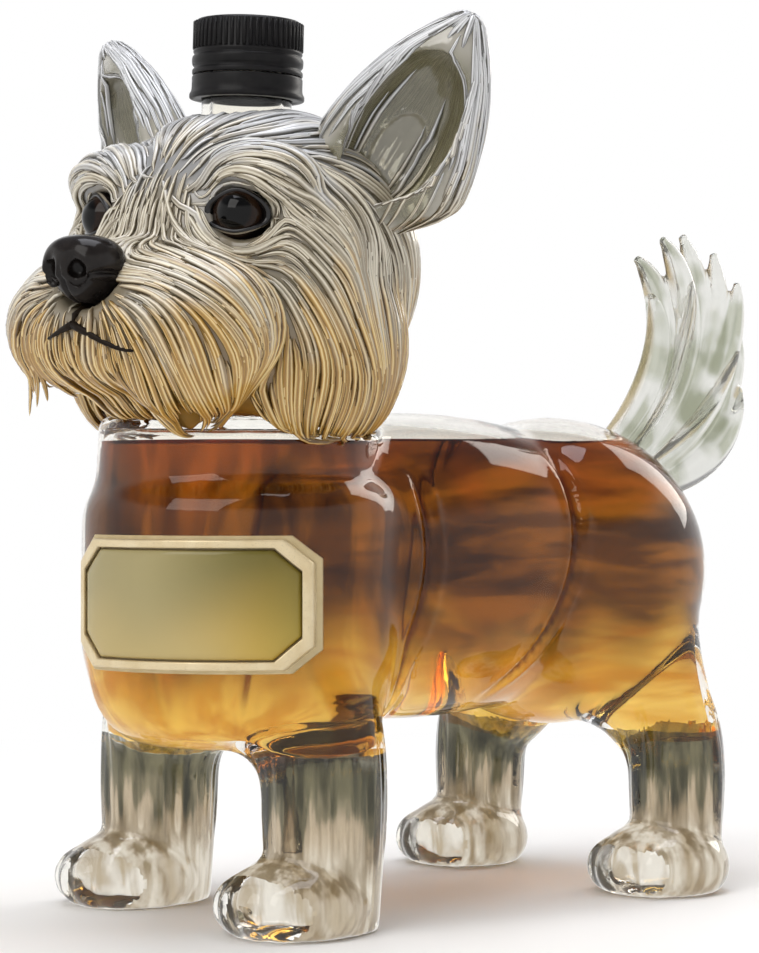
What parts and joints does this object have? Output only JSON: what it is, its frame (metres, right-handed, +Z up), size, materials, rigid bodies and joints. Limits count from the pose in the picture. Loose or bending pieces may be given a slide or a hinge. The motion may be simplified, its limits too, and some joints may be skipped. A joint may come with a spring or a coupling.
{
  "type": "figural liquor decanter",
  "caption": "Clear glass decanter shaped as a standing terrier and filled with amber liquor, closed by a black screw cap on its crown, with a blank plaque on the chest.",
  "frame": {"origin": "on the floor under the middle of the part's box", "axes": "the dog looks along -Y, its left side is +X, +Z is up"},
  "size_m": [0.1334, 0.2723, 0.2443],
  "materials": {
    "clear_glass": "clear moulded glass, faintly warm",
    "black_glass": "glossy black",
    "liquor": "clear amber liquor",
    "pad": "matt tan backing pad",
    "pale_gold": "satin pale gold",
    "olive_panel": "glossy olive to gold panel, blank",
    "seal_plastic": "natural white moulded plastic",
    "black_cap": "satin black"
  },
  "bodies": {
    "bottle": {"torso_shell": "clear_glass", "head_shell": "clear_glass", "neck_finish": "clear_glass", "left_ear": "clear_glass", "right_ear": "clear_glass", "tail": "clear_glass", "front_left_leg": "clear_glass", "front_right_leg": "clear_glass", "rear_left_leg": "clear_glass", "rear_right_leg": "clear_glass", "left_eye": "black_glass", "right_eye": "black_glass", "nose": "black_glass", "liquor": "liquor", "plaque_backing": "pad", "plaque_frame": "pale_gold", "plaque_panel": "olive_panel", "pour_insert": "seal_plastic"},
    "liner": {"cap_liner": "seal_plastic"},
    "cap": {"cap_insert": "seal_plastic", "cap_shell": "black_cap"},
    "band": {"tamper_band": "black_cap"}
  },
  "joints": [
    {"name": "cap_rise", "type": "slide", "parent": "bottle", "child": "liner", "axis": [0.0341, 0.0073, 0.9994], "range_m": [0, 0.016]},
    {"name": "cap_turn", "type": "hinge", "parent": "liner", "child": "cap", "pos_m": [0.00194, -0.06633, 0.22694], "axis": [0.0341, 0.0073, 0.9994], "range_deg": [0, 1440]},
    {"name": "band_spin", "type": "hinge", "parent": "bottle", "child": "band", "pos_m": [0.00194, -0.06633, 0.22694], "axis": [0.0341, 0.0073, 0.9994], "continuous": true}
  ],
  "couplings": [
    {"joint": "cap_rise", "follows": "cap_turn", "m_per_rad": 0.00063662}
  ]
}
